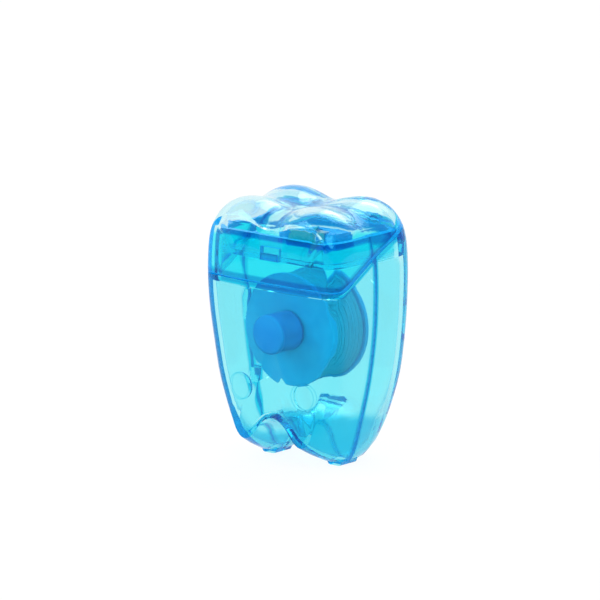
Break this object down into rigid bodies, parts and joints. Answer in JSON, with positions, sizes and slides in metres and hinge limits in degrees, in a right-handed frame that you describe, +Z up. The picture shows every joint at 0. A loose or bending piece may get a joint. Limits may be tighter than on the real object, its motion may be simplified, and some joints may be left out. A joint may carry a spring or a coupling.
{
  "type": "dental floss dispenser",
  "caption": "Translucent blue floss dispenser shaped like a molar, with a hinged crown lid, a deck with a cutter and a spool of floss that turns on an axle.",
  "frame": {"origin": "on the ground between the feet, at the middle of the case's width and depth", "axes": "+Z up along the height, -Y towards the front face, +X to the right of someone who looks at the front"},
  "size_m": [0.0374, 0.0291, 0.057],
  "materials": {
    "case_plastic": "clear blue tint, polished",
    "spool_plastic": "blue, smooth",
    "steel": "rolled sheet",
    "floss": "waxed"
  },
  "bodies": {
    "case": {"front_shell": "case_plastic", "rear_shell": "case_plastic", "deck": "case_plastic", "cutter": "steel", "floss_strand": "floss"},
    "lid": {"lid": "case_plastic"},
    "spool": {"spool": "spool_plastic", "floss_core": "floss", "floss_winding": "floss"}
  },
  "joints": [
    {"name": "lid_hinge", "type": "hinge", "parent": "case", "child": "lid", "pos_m": [0, 0.01309, 0.0515], "axis": [-1, 0, 0], "range_deg": [0, 110]},
    {"name": "spool_spin", "type": "hinge", "parent": "case", "child": "spool", "pos_m": [0, -0.001, 0.029], "axis": [0, 1, 0], "continuous": true}
  ]
}
